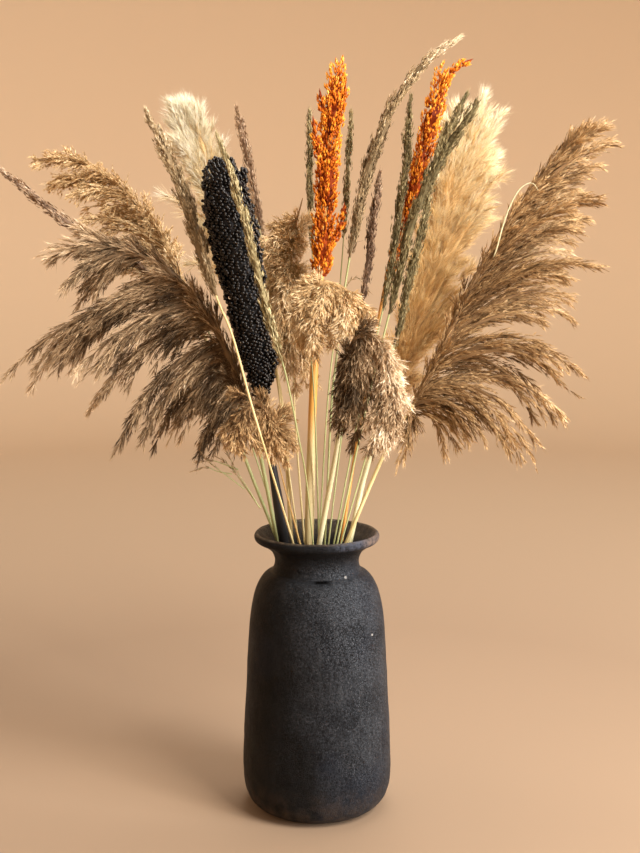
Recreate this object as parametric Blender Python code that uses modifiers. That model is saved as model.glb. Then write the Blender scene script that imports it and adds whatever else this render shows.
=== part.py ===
"""A bouquet of dried reed plumes, pampas, dyed sorghum and meadow grasses standing in a dark ceramic vase.

Each stalk is one closed body, stem and head together. Metres, Z up, origin at the centre of the vase's base.
"""
import math

import bmesh
import bpy
from mathutils import Vector

# vase
FACETS = 36
FLOOR = 0.012
OUTSIDE = [(0.0795, 0.3585), (0.080, 0.353), (0.076, 0.3465), (0.061, 0.332), (0.054, 0.321), (0.0545, 0.314),
           (0.065, 0.309), (0.076, 0.293), (0.083, 0.271), (0.0895, 0.205), (0.093, 0.137), (0.0967, 0.060),
           (0.0955, 0.028), (0.088, 0.010), (0.075, 0.002), (0.064, 0.0), (0.0, 0.0)]
INSIDE = [(0.0, FLOOR), (0.060, FLOOR), (0.084, 0.032), (0.0885, 0.070), (0.0815, 0.205), (0.070, 0.288),
          (0.049, 0.309), (0.0475, 0.319), (0.060, 0.338), (0.071, 0.351), (0.076, 0.3595)]

# stalks inside the vase: each passes the neck and stands on the floor, nearer the middle than at the mouth
NECK_Z = 0.318
NECK_SHARE = 0.84
FOOT_SHARE = 0.70
GAP = 0.0003

# locks: a lock leaves along its stalk, then bends over towards its tip
LEAVE_SHARE = 0.30
BEND_SHARE = 0.50

COLOURS = {
    "charcoal_ceramic": ((0.030, 0.030, 0.034), 0.55),
    "reed_brown": ((0.36, 0.24, 0.13), 0.9),
    "reed_grey": ((0.30, 0.22, 0.14), 0.9),
    "reed_gold": ((0.46, 0.31, 0.15), 0.9),
    "pampas_cream": ((0.80, 0.62, 0.34), 0.9),
    "pampas_straw": ((0.66, 0.46, 0.22), 0.9),
    "dyed_black": ((0.012, 0.011, 0.014), 0.4),
    "dyed_orange": ((0.75, 0.20, 0.02), 0.7),
    "grass_green": ((0.19, 0.18, 0.11), 0.9),
    "grass_mauve": ((0.27, 0.19, 0.14), 0.9),
    "grass_olive": ((0.28, 0.23, 0.14), 0.9),
}


def clear_scene():
    for thing in list(bpy.data.objects):
        bpy.data.objects.remove(thing, do_unlink=True)


def material(name):
    colour, rough = COLOURS[name]
    made = bpy.data.materials.get(name)
    if made is None:
        made = bpy.data.materials.new(name)
        made.use_nodes = True
        shader = made.node_tree.nodes["Principled BSDF"]
        shader.inputs["Base Color"].default_value = (*colour, 1.0)
        shader.inputs["Roughness"].default_value = rough
        shader.inputs["Metallic"].default_value = 0.0
    return made


def spline_through(points, steps):
    """Points along a rounded line that passes every given point."""
    given = [Vector(p) for p in points]
    ends = [given[0] * 2 - given[1]] + given + [given[-1] * 2 - given[-2]]
    line = []
    for a, b, c, d in zip(ends, ends[1:], ends[2:], ends[3:]):
        for i in range(steps):
            t = i / steps
            line.append(0.5 * (2 * b + (c - a) * t + (2 * a - 5 * b + 4 * c - d) * t ** 2
                               + (3 * b - a - 3 * c + d) * t ** 3))
    return line + [given[-1]]


def spaced(line, count):
    """The same line as count points at equal steps of length."""
    run = [0.0]
    for a, b in zip(line, line[1:]):
        run.append(run[-1] + (b - a).length)
    points = []
    j = 0
    for i in range(count):
        want = run[-1] * i / (count - 1)
        while j < len(line) - 2 and run[j + 1] < want:
            j += 1
        points.append(line[j].lerp(line[j + 1], (want - run[j]) / (run[j + 1] - run[j])))
    return points


def along(table, t):
    """Value at t from pairs of place and value."""
    for (t0, v0), (t1, v1) in zip(table, table[1:]):
        if t <= t1:
            return v0 + (v1 - v0) * (t - t0) / (t1 - t0)
    return table[-1][1]


def tube(points, radii, sides):
    """A closed round bar along the points, as a mesh object."""
    data = bpy.data.curves.new("bar", "CURVE")
    data.dimensions = "3D"
    data.bevel_depth = 1.0
    data.bevel_resolution = (sides - 4) // 2
    data.use_fill_caps = True
    spline = data.splines.new("POLY")
    spline.points.add(len(points) - 1)
    for spot, place, radius in zip(spline.points, points, radii):
        spot.co = (*place, 1.0)
        spot.radius = radius
    curve = bpy.data.objects.new("bar", data)
    bpy.context.scene.collection.objects.link(curve)
    return to_mesh(curve)


def to_mesh(source):
    """The evaluated shape of an object as a new welded mesh object; the source is removed."""
    view = bpy.context.evaluated_depsgraph_get()
    mesh = bpy.data.meshes.new_from_object(source.evaluated_get(view))
    shape = bmesh.new()
    shape.from_mesh(mesh)
    bmesh.ops.remove_doubles(shape, verts=shape.verts, dist=0.00005)
    bmesh.ops.dissolve_degenerate(shape, edges=shape.edges, dist=0.00005)
    bmesh.ops.recalc_face_normals(shape, faces=shape.faces)
    shape.to_mesh(mesh)
    shape.free()
    made = bpy.data.objects.new(source.name, mesh)
    made.matrix_world = source.matrix_world.copy()
    bpy.context.scene.collection.objects.link(made)
    bpy.data.objects.remove(source, do_unlink=True)
    return made


def fuse(pieces):
    """One body made of overlapping bodies."""
    base, rest = pieces[0], pieces[1:]
    if not rest:
        return base
    group = bpy.data.collections.new("joined")
    bpy.context.scene.collection.children.link(group)
    for piece in rest:
        bpy.context.scene.collection.objects.unlink(piece)
        group.objects.link(piece)
    union = base.modifiers.new("union", "BOOLEAN")
    union.operation = "UNION"
    union.operand_type = "COLLECTION"
    union.solver = "EXACT"
    union.collection = group
    bpy.context.view_layer.update()
    made = to_mesh(base)
    for piece in rest:
        bpy.data.objects.remove(piece, do_unlink=True)
    bpy.data.collections.remove(group)
    return made


def finish(body, name, colour, home):
    body.name = name
    body.data.name = name
    body.data.materials.clear()
    body.data.materials.append(material(colour))
    for face in body.data.polygons:
        face.use_smooth = True
    body.data.set_sharp_from_angle(angle=math.radians(50))
    bpy.context.scene.collection.objects.unlink(body)
    home.objects.link(body)


def rooted(mouth, radius, route):
    """Route of a stalk from the vase's floor through the neck and mouth and on along the route."""
    x, y = mouth
    foot = Vector((x * FOOT_SHARE, y * FOOT_SHARE, FLOOR))
    neck = Vector((x * NECK_SHARE, y * NECK_SHARE, NECK_Z))
    lean = (neck - foot).normalized()
    foot.z += GAP + radius * math.hypot(lean.x, lean.y) + 0.0001
    return foot, [neck, Vector((x, y, 0.345))] + [Vector(p) for p in route]


def stem(mouth, route, radius, rings, sides=6, flare=None):
    """A stem from the floor of the vase to the end of its route; flare is its radius up to the mouth."""
    foot, line = rooted(mouth, flare or radius, route)
    upper = spaced(spline_through(line, 6), rings)
    low = flare or radius
    radii = [low] + [low + (radius - low) * min(1, max(0, (p.z - 0.36) / 0.09)) for p in upper]
    return tube([foot] + upper, radii, sides)


def lock(line, place, tip, thick, rings=5, sides=4):
    """A drooping lock that leaves the line at a place from 0 to 1 and ends at its tip."""
    spot = place * (len(line) - 1)
    i = min(int(spot), len(line) - 2)
    start = line[i].lerp(line[i + 1], spot - i)
    heading = (line[i + 1] - line[i]).normalized()
    reach = Vector(tip) - start
    bend = start + heading * LEAVE_SHARE * reach.length + reach * BEND_SHARE
    points = []
    for k in range(rings):
        t = k / (rings - 1)
        points.append(start * (1 - t) ** 2 + bend * 2 * t * (1 - t) + Vector(tip) * t ** 2)
    shape = [(0.0, 0.45), (0.35, 1.0), (0.75, 0.75), (1.0, 0.12)]
    radii = [thick * along(shape, k / (rings - 1)) for k in range(rings)]
    return tube(points, radii, sides)


def plume(mouth, route, spine, locks, thick, core, stalk=0.003, rings=9, spread=9):
    """A stem with a plume: a tapered core along the spine and a lock for each place and tip."""
    line = spaced(spline_through(spine, 6), spread)
    shape = [(0.0, 0.35), (0.25, 1.0), (0.7, 0.9), (1.0, 0.15)]
    body = tube(line, [core * along(shape, i / (spread - 1)) for i in range(spread)], 6)
    start = Vector(spine[0]).lerp(Vector(spine[1]), 0.15)
    pieces = [stem(mouth, route + [tuple(start)], stalk, rings), body]
    for place, tip, *size in locks:
        pieces.append(lock(line, place, tip, size[0] if size else thick))
    return fuse(pieces)


def beaded(line, widths, sides, rings, lump):
    """A closed head along a line with a swelling at every other crossing of its rings and sides."""
    points = spaced(spline_through(line, 6), rings)
    body = tube(points, [along(widths, i / (rings - 1)) for i in range(rings)], sides)
    for spot in body.data.vertices:
        near = min(range(rings), key=lambda i: (spot.co - points[i]).length)
        out = spot.co - points[near]
        turn = round(math.atan2(out.y, out.x) / (2 * math.pi) * sides)
        if 0 < near < rings - 1:
            spot.co += out.normalized() * lump * (1 if (near + turn) % 2 else -1)
    return body


def grass(mouth, route, head, radius, thick, rings=15):
    """A thin stem that swells to a knotted seed head from the share head of its length."""
    foot, line = rooted(mouth, radius, route)
    upper = spaced(spline_through(line, 6), rings)
    radii = [radius]
    for i in range(rings):
        t = (i / (rings - 1) - head) / (1 - head)
        swell = thick * max(0.0, math.sin(math.pi * max(0.0, t) ** 0.7)) ** 0.6 * (1 + 0.15 * (-1) ** i)
        radii.append(max(radius if t < 0.9 else radius * 0.6, swell))
    return tube([foot] + upper, radii, 4)


def vase():
    outline = INSIDE + OUTSIDE
    mesh = bpy.data.meshes.new("vase")
    mesh.from_pydata([(r, 0.0, z) for r, z in outline], [(i, i + 1) for i in range(len(outline) - 1)], [])
    body = bpy.data.objects.new("vase", mesh)
    bpy.context.scene.collection.objects.link(body)
    turn = body.modifiers.new("turn", "SCREW")
    turn.axis = "Z"
    turn.angle = math.tau
    turn.steps = FACETS
    turn.render_steps = FACETS
    turn.use_merge_vertices = True
    turn.merge_threshold = 0.00005
    return to_mesh(body)


def build():
    clear_scene()
    home = bpy.data.collections.new("vase_of_dried_grasses")
    bpy.context.scene.collection.children.link(home)
    finish(vase(), "vase", "charcoal_ceramic", home)

    # reed plumes: mouth, stem route, spine of the plume, then place and tip of each lock
    finish(plume((0.036, -0.012), [(0.085, -0.015, 0.465)],
                 [(0.115, -0.012, 0.515), (0.155, -0.010, 0.595), (0.200, -0.010, 0.690),
                  (0.262, -0.010, 0.790), (0.314, -0.015, 0.845), (0.356, -0.020, 0.873)],
                 [(0.02, (0.100, -0.035, 0.450), 0.011), (0.05, (0.170, 0.030, 0.452)),
                  (0.09, (0.212, -0.055, 0.487), 0.012), (0.12, (0.278, -0.030, 0.457)),
                  (0.17, (0.315, 0.045, 0.504), 0.014), (0.23, (0.328, -0.050, 0.572), 0.014),
                  (0.30, (0.339, 0.030, 0.658), 0.014), (0.38, (0.346, -0.035, 0.704)),
                  (0.46, (0.366, 0.035, 0.767)), (0.56, (0.347, -0.045, 0.789)),
                  (0.66, (0.371, 0.015, 0.830), 0.010), (0.74, (0.330, 0.0, 0.876), 0.008)],
                 0.012, 0.016), "reed_right", "reed_brown", home)
    finish(plume((-0.050, 0.001), [(-0.077, -0.030, 0.497)],
                 [(-0.103, -0.045, 0.579), (-0.135, -0.050, 0.644), (-0.183, -0.050, 0.696),
                  (-0.236, -0.050, 0.718), (-0.285, -0.050, 0.720), (-0.326, -0.050, 0.708)],
                 [(0.70, (-0.299, -0.085, 0.675)), (0.58, (-0.296, -0.030, 0.652)),
                  (0.36, (-0.381, -0.060, 0.562), 0.015), (0.40, (-0.336, -0.025, 0.569), 0.013),
                  (0.27, (-0.292, -0.105, 0.569), 0.014), (0.22, (-0.284, -0.040, 0.523), 0.014),
                  (0.12, (-0.246, -0.080, 0.478), 0.014), (0.06, (-0.210, -0.025, 0.463), 0.013),
                  (0.01, (-0.133, -0.070, 0.461), 0.013), (0.64, (-0.290, -0.045, 0.748), 0.009)],
                 0.011, 0.020), "reed_left_low", "reed_grey", home)
    finish(plume((-0.050, 0.010), [(-0.097, 0.030, 0.463)],
                 [(-0.141, 0.042, 0.598), (-0.175, 0.042, 0.681), (-0.201, 0.037, 0.741),
                  (-0.235, 0.032, 0.793), (-0.272, 0.030, 0.824), (-0.309, 0.030, 0.840),
                  (-0.347, 0.030, 0.835)],
                 [(0.72, (-0.355, 0.050, 0.807), 0.008), (0.60, (-0.324, 0.018, 0.793)),
                  (0.50, (-0.309, 0.058, 0.780)), (0.42, (-0.312, 0.022, 0.762)),
                  (0.32, (-0.300, 0.045, 0.731)), (0.50, (-0.189, 0.058, 0.701), 0.009),
                  (0.20, (-0.262, 0.026, 0.700))],
                 0.011, 0.016, rings=8), "reed_left_high", "reed_gold", home)
    finish(plume((-0.016, 0.009), [(-0.028, 0.030, 0.502)],
                 [(-0.032, 0.042, 0.617), (-0.036, 0.042, 0.674), (-0.033, 0.040, 0.725), (-0.018, 0.040, 0.784)],
                 [(0.66, (-0.068, 0.028, 0.736), 0.012), (0.45, (-0.064, 0.046, 0.655)),
                  (0.35, (-0.053, 0.014, 0.612)), (0.25, (-0.026, 0.008, 0.533)),
                  (0.25, (0.001, 0.042, 0.529), 0.011), (0.62, (-0.006, 0.060, 0.764), 0.009),
                  (0.20, (-0.047, 0.030, 0.577))],
                 0.013, 0.018, rings=7, spread=6), "reed_mid_left", "reed_gold", home)
    finish(plume((0.003, -0.010), [(-0.003, -0.022, 0.533)],
                 [(-0.009, -0.045, 0.622), (-0.001, -0.057, 0.672), (0.028, -0.060, 0.674), (0.067, -0.062, 0.636)],
                 [(0.20, (-0.020, -0.050, 0.595)), (0.30, (0.0, -0.077, 0.578)), (0.52, (0.017, -0.052, 0.594)),
                  (0.62, (0.028, -0.077, 0.612), 0.010), (0.74, (0.052, -0.052, 0.612), 0.010),
                  (0.28, (-0.035, -0.064, 0.632))],
                 0.012, 0.016, rings=7, spread=7), "reed_mid_right", "reed_gold", home)
    finish(plume((0.002, -0.028), [(0.025, -0.062, 0.482)],
                 [(0.034, -0.086, 0.564), (0.042, -0.100, 0.606), (0.059, -0.108, 0.622), (0.080, -0.116, 0.597),
                  (0.101, -0.122, 0.535)],
                 [(0.22, (0.025, -0.092, 0.493)), (0.36, (0.042, -0.112, 0.480)), (0.50, (0.061, -0.130, 0.472)),
                  (0.62, (0.082, -0.110, 0.477)), (0.78, (0.094, -0.135, 0.490), 0.010)],
                 0.014, 0.018, rings=7, spread=8), "reed_front_right", "reed_brown", home)
    finish(plume((-0.020, -0.023), [(-0.045, -0.080, 0.459)],
                 [(-0.053, -0.100, 0.509), (-0.060, -0.106, 0.543), (-0.076, -0.112, 0.553), (-0.095, -0.115, 0.530)],
                 [(0.70, (-0.090, -0.110, 0.472)), (0.45, (-0.072, -0.098, 0.484)),
                  (0.20, (-0.032, -0.096, 0.457)), (0.28, (-0.042, -0.100, 0.540), 0.008)],
                 0.010, 0.013, stalk=0.0015, rings=7, spread=6), "reed_front_left", "reed_brown", home)

    # pampas plumes
    finish(plume((-0.033, 0.018), [(-0.044, 0.064, 0.499)],
                 [(-0.065, 0.100, 0.601), (-0.103, 0.120, 0.706), (-0.143, 0.135, 0.813), (-0.169, 0.140, 0.933)],
                 [(0.55, (-0.203, 0.120, 0.918)), (0.60, (-0.188, 0.150, 0.935)), (0.62, (-0.148, 0.130, 0.924)),
                  (0.45, (-0.215, 0.140, 0.886), 0.014), (0.40, (-0.220, 0.120, 0.796), 0.008),
                  (0.22, (-0.177, 0.112, 0.709), 0.008), (0.45, (-0.123, 0.124, 0.872), 0.014),
                  (0.35, (-0.107, 0.148, 0.835), 0.014)],
                 0.017, 0.030, rings=7, spread=8), "pampas_left", "pampas_cream", home)
    finish(plume((0.042, 0.003), [(0.064, 0.032, 0.436)],
                 [(0.093, 0.062, 0.511), (0.126, 0.090, 0.614), (0.164, 0.110, 0.726), (0.192, 0.120, 0.825),
                  (0.215, 0.120, 0.930)],
                 [(0.70, (0.240, 0.130, 0.935)), (0.68, (0.176, 0.104, 0.913)), (0.62, (0.259, 0.120, 0.900)),
                  (0.54, (0.254, 0.148, 0.849)), (0.44, (0.260, 0.104, 0.826), 0.012),
                  (0.36, (0.245, 0.128, 0.767)), (0.26, (0.205, 0.104, 0.712)), (0.10, (0.166, 0.076, 0.622)),
                  (0.04, (0.150, 0.090, 0.561), 0.012), (0.28, (0.126, 0.120, 0.720), 0.014)],
                 0.018, 0.030, rings=7, spread=9), "pampas_right", "pampas_straw", home)

    # dyed sorghum: stem and a knobbly head with side clusters
    head = [(-0.061, -0.066, 0.546), (-0.074, -0.075, 0.615), (-0.088, -0.080, 0.683), (-0.099, -0.080, 0.753),
            (-0.106, -0.080, 0.824)]
    line = spaced(spline_through(head, 6), 9)
    finish(fuse([stem((-0.039, -0.015), [(-0.054, -0.045, 0.449), (-0.065, -0.069, 0.570)], 0.004, 8, flare=0.008),
                 beaded(head, [(0.0, 0.009), (0.1, 0.018), (0.3, 0.028), (0.75, 0.030), (0.92, 0.020), (1.0, 0.007)],
                        12, 17, 0.0020),
                 lock(line, 0.80, (-0.076, -0.078, 0.822), 0.009, 5, 6),
                 lock(line, 0.04, (-0.050, -0.078, 0.594), 0.012, 5, 6)]),
           "sorghum_black", "dyed_black", home)
    head = [(0.004, -0.005, 0.686), (0.011, -0.005, 0.779), (0.015, -0.005, 0.852), (0.026, -0.010, 0.948)]
    line = spaced(spline_through(head, 6), 9)
    finish(fuse([stem((-0.010, -0.005), [(-0.005, -0.005, 0.531), (0.003, -0.005, 0.700)], 0.0055, 6),
                 beaded(head, [(0.0, 0.010), (0.1, 0.017), (0.45, 0.020), (0.75, 0.016), (1.0, 0.007)],
                        8, 15, 0.0025),
                 lock(line, 0.25, (-0.008, -0.012, 0.884), 0.011, 6),
                 lock(line, 0.05, (0.036, -0.006, 0.774), 0.009, 6),
                 lock(line, 0.50, (0.033, -0.008, 0.925), 0.010, 6)]),
           "sorghum_orange_tall", "dyed_orange", home)
    head = [(0.090, 0.033, 0.690), (0.116, 0.035, 0.788), (0.138, 0.030, 0.886), (0.156, 0.030, 0.943),
            (0.188, 0.030, 0.955)]
    line = spaced(spline_through(head, 6), 9)
    finish(fuse([stem((0.031, -0.003), [(0.050, 0.020, 0.464), (0.093, 0.034, 0.700)], 0.0022, 7),
                 beaded(head, [(0.0, 0.004), (0.15, 0.011), (0.45, 0.015), (0.70, 0.014), (0.86, 0.008),
                               (1.0, 0.003)], 8, 14, 0.0015),
                 lock(line, 0.50, (0.143, 0.028, 0.945), 0.010, 5)]),
           "sorghum_orange_bent", "dyed_orange", home)

    # meadow grasses: mouth, route, share of the length below the head, stem and head radius
    grasses = [
        ("grass_far_left", "grass_mauve", (-0.044, 0.008), 0.60, 0.0010, 0.0060,
         [(-0.085, 0.0, 0.480), (-0.133, -0.005, 0.613), (-0.207, -0.008, 0.691), (-0.298, -0.010, 0.745),
          (-0.388, -0.010, 0.816)]),
        ("grass_left", "grass_olive", (-0.027, -0.034), 0.42, 0.0012, 0.0065,
         [(-0.062, -0.130, 0.494), (-0.076, -0.135, 0.544), (-0.097, -0.130, 0.621), (-0.117, -0.110, 0.666),
          (-0.151, -0.060, 0.759), (-0.184, -0.020, 0.838), (-0.210, 0.0, 0.886)]),
        ("grass_over_black", "grass_green", (-0.004, -0.040), 0.48, 0.0010, 0.0055,
         [(-0.012, -0.085, 0.440), (-0.021, -0.112, 0.498), (-0.036, -0.135, 0.578), (-0.051, -0.140, 0.627),
          (-0.075, -0.136, 0.728), (-0.098, -0.132, 0.807), (-0.112, -0.128, 0.845)]),
        ("grass_behind_black", "grass_mauve", (-0.024, 0.016), 0.62, 0.0012, 0.0055,
         [(-0.042, 0.048, 0.473), (-0.059, 0.070, 0.615), (-0.072, 0.084, 0.739), (-0.087, 0.088, 0.822),
          (-0.103, 0.088, 0.901)]),
        ("grass_mid_left", "grass_green", (-0.006, 0.012), 0.62, 0.0010, 0.0045,
         [(-0.003, 0.062, 0.551), (-0.005, 0.090, 0.680), (-0.009, 0.090, 0.784), (-0.010, 0.085, 0.896)]),
        ("grass_mid_right", "grass_green", (0.003, 0.006), 0.66, 0.0010, 0.0030,
         [(0.014, 0.022, 0.529), (0.028, 0.036, 0.656), (0.037, 0.036, 0.781), (0.043, 0.034, 0.889)]),
        ("grass_tall_arch", "grass_olive", (0.010, -0.017), 0.48, 0.0012, 0.0075,
         [(0.018, -0.020, 0.523), (0.024, -0.015, 0.581), (0.035, -0.010, 0.674), (0.056, -0.010, 0.791),
          (0.075, -0.010, 0.851), (0.101, -0.010, 0.905), (0.131, -0.010, 0.944), (0.172, -0.010, 0.972)]),
        ("grass_right", "grass_green", (0.021, -0.012), 0.50, 0.0010, 0.0055,
         [(0.057, 0.0, 0.531), (0.085, 0.0, 0.657), (0.105, 0.0, 0.780), (0.115, 0.0, 0.904)]),
        ("grass_short_dark", "grass_mauve", (0.014, -0.024), 0.48, 0.0010, 0.0055,
         [(0.037, -0.005, 0.531), (0.055, 0.0, 0.638), (0.070, 0.0, 0.755), (0.078, 0.0, 0.811)]),
        ("grass_right_front", "grass_green", (0.024, -0.032), 0.46, 0.0012, 0.0075,
         [(0.063, -0.035, 0.535), (0.090, -0.030, 0.645), (0.113, -0.030, 0.742), (0.149, -0.030, 0.838),
          (0.186, -0.030, 0.899)]),
        ("grass_right_low", "grass_green", (0.029, -0.020), 0.50, 0.0010, 0.0055,
         [(0.075, -0.002, 0.505), (0.102, 0.0, 0.619), (0.114, 0.0, 0.674), (0.128, 0.0, 0.737),
          (0.148, 0.0, 0.828)]),
    ]
    for name, colour, mouth, start, radius, thick, route in grasses:
        finish(grass(mouth, route, start, radius, thick), name, colour, home)


build()
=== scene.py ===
"""Dried reed plumes, pampas, dyed sorghum and meadow grasses in a dark ceramic vase."""
import math

import bpy
import numpy as np
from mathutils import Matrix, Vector, noise


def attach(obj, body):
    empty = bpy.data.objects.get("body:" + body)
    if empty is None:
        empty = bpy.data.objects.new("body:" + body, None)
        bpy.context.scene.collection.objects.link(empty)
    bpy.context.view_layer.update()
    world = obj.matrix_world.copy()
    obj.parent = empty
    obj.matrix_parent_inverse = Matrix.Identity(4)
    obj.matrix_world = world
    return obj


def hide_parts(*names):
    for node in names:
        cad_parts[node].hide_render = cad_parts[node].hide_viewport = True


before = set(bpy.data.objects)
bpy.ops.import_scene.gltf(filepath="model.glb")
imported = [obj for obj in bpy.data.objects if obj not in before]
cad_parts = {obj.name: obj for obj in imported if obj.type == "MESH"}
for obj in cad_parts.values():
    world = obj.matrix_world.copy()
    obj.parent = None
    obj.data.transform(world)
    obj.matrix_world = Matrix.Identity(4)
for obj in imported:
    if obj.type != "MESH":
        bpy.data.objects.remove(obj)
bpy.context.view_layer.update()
rng = np.random.default_rng(11)
UP = np.array([0.0, 0.0, 1.0])
BLACK = (0.0, 0.0, 0.0)


# materials
class Look:
    """A material. Each method adds a node, links or sets its inputs and gives its output."""

    def __init__(self, name, rough):
        self.material = bpy.data.materials.new(name)
        self.material.use_nodes = True
        self.tree = self.material.node_tree
        self.shader = self.tree.nodes["Principled BSDF"]
        self.shader.inputs["Roughness"].default_value = rough

    def put(self, socket, value):
        if isinstance(value, bpy.types.NodeSocket):
            self.tree.links.new(value, socket)
        else:
            socket.default_value = (*value, 1.0) if socket.type == "RGBA" else value

    def node(self, kind, output, inputs, **settings):
        made = self.tree.nodes.new("ShaderNode" + kind)
        for name, value in settings.items():
            setattr(made, name, value)
        for name, value in inputs.items():
            self.put(made.inputs[name], value)
        return made.outputs[output]

    def surface(self, **inputs):
        """Sets the shader's sockets, with _ for a space in their names, and gives the material."""
        for name, value in inputs.items():
            self.put(self.shader.inputs[name.replace("_", " ")], value)
        return self.material

    def place(self):
        return self.node("TexCoord", "Object", {})

    def fibre_map(self):
        return self.node("UVMap", "UV", {}, uv_map="fibre")

    def axes(self, vector):
        made = self.tree.nodes.new("ShaderNodeSeparateXYZ")
        self.put(made.inputs["Vector"], vector)
        return [made.outputs[axis] for axis in "XYZ"]

    def stretched(self, vector, scale):
        return self.node("Mapping", "Vector", {"Vector": vector, "Scale": scale})

    def noise(self, vector, scale, detail, rough=0.5):
        return self.node("TexNoise", "Fac", {"Vector": vector, "Scale": scale, "Detail": detail,
                                             "Roughness": rough})

    def cells(self, vector, scale, feature="F1"):
        return self.node("TexVoronoi", "Distance", {"Vector": vector, "Scale": scale}, feature=feature)

    def vector_maths(self, kind, output, *values):
        return self.node("VectorMath", output, dict(enumerate(values)), operation=kind)

    def maths(self, kind, a, b):
        return self.node("Math", "Value", {0: a, 1: b}, operation=kind)

    def span(self, value, low, high, bottom=0.0, top=1.0):
        """Bottom to top where value goes from low to high."""
        return self.node("MapRange", "Result", {"Value": value, "From Min": low, "From Max": high,
                                                "To Min": bottom, "To Max": top})

    def ramp(self, value, stops):
        made = self.tree.nodes.new("ShaderNodeValToRGB")
        band = made.color_ramp
        while len(band.elements) < len(stops):
            band.elements.new(0.5)
        for element, (place, colour) in zip(band.elements, stops):
            element.position = place
            element.color = (*colour, 1.0)
        self.put(made.inputs["Fac"], value)
        return made.outputs["Color"]

    def levels(self, value, *stops):
        return self.ramp(value, [(place, (grey, grey, grey)) for place, grey in stops])

    def blend(self, factor, a, b, mode="MIX"):
        return self.node("Mix", "Result", {"Factor": factor, "A": a, "B": b}, data_type="RGBA", blend_type=mode)

    def both(self, a, b):
        """A mask that holds where both masks hold."""
        return self.blend(a, BLACK, b)

    def bump(self, height, strength, distance):
        return self.node("Bump", "Normal", {"Height": height, "Strength": strength, "Distance": distance})


def fibre_material(name, stops, rough=0.75, tip=(1.25, 1.2, 1.1), sheen=0.0, specular=0.3):
    """Colour by each fibre's tint, with its root darker and its tip lighter."""
    look = Look(name, rough)
    tint, along, _ = look.axes(look.fibre_map())
    length = look.ramp(along, [(0.0, (0.72, 0.68, 0.64)), (0.55, (1.0, 1.0, 1.0)), (1.0, tip)])
    colour = look.blend(1.0, look.ramp(tint, stops), length, "MULTIPLY")
    return look.surface(Base_Color=colour, Specular_IOR_Level=specular, Sheen_Weight=sheen)


def stem_material(name, low, high, streak, rough=0.5, upper=None):
    """A straw-like stem with fine streaks; upper gives another colour above a height."""
    look = Look(name, rough)
    place = look.place()
    grain = look.noise(look.stretched(place, (900.0, 900.0, 18.0)), 1.0, 3.0)
    colour = look.ramp(look.noise(place, 14.0, 2.0), [(0.3, low), (0.7, high)])
    colour = look.blend(look.levels(grain, (0.35, 0.0), (0.75, 0.75)), colour, streak)
    if upper:
        top, low_z, high_z = upper
        colour = look.blend(look.span(look.axes(place)[2], low_z, high_z), colour, top)
    return look.surface(Base_Color=colour, Normal=look.bump(grain, 0.25, 0.0004))


# lines
def mm(numbers):
    """Metres from whole millimetres, in lists of any depth."""
    return numbers / 1000 if isinstance(numbers, int) else [mm(number) for number in numbers]


def unit(v):
    return v / np.maximum(np.linalg.norm(v, axis=-1, keepdims=True), 1e-12)


def spline_through(points, steps=10):
    """Points along a rounded line that passes every given point."""
    given = np.array(points, float)
    ends = np.vstack([2 * given[:1] - given[1:2], given, 2 * given[-1:] - given[-2:-1]])
    line = []
    for a, b, c, d in zip(ends, ends[1:], ends[2:], ends[3:]):
        for t in np.arange(steps) / steps:
            line.append(0.5 * (2 * b + (c - a) * t + (2 * a - 5 * b + 4 * c - d) * t ** 2
                               + (3 * b - a - 3 * c + d) * t ** 3))
    return np.array(line + [given[-1]])


class Line:
    """A smooth line; at() gives places and headings for shares 0 to 1 of its length."""

    def __init__(self, points, steps=10):
        self.points = spline_through(points, steps)
        run = np.r_[0.0, np.cumsum(np.linalg.norm(np.diff(self.points, axis=0), axis=1))]
        self.length = run[-1]
        self.run = run / run[-1]
        self.heads = unit(np.gradient(self.points, axis=0))

    def at(self, share):
        place = np.stack([np.interp(share, self.run, self.points[:, i]) for i in range(3)], -1)
        head = np.stack([np.interp(share, self.run, self.heads[:, i]) for i in range(3)], -1)
        return place, unit(head)


MOUTH_Z, NECK_Z, FLOOR = 0.345, 0.318, 0.0135
NECK_SHARE, FOOT_SHARE = 0.84, 0.7  # of a stalk's distance from the middle at the mouth


def rooted(mouth, route):
    """Route of a stalk from the vase's floor through its neck and mouth and on; both are in millimetres."""
    x, y = mm(mouth)
    return [(x * FOOT_SHARE, y * FOOT_SHARE, FLOOR), (x * NECK_SHARE, y * NECK_SHARE, NECK_Z),
            (x, y, MOUTH_Z)] + mm(route)


def square_to(head):
    """Two unit vectors square to each heading."""
    other = np.where(np.abs(head[:, 2:3]) < 0.9, UP[None, :], np.array([[1.0, 0.0, 0.0]]))
    a = unit(np.cross(head, other))
    return a, np.cross(head, a)


def lean(head, angle, turn):
    """Headings tipped by an angle to the side that turn gives."""
    a, b = square_to(head)
    side = a * np.cos(turn)[:, None] + b * np.sin(turn)[:, None]
    return head * np.cos(angle)[:, None] + side * np.sin(angle)[:, None]


def some(count, low, high):
    return rng.uniform(low, high, count)


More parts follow.
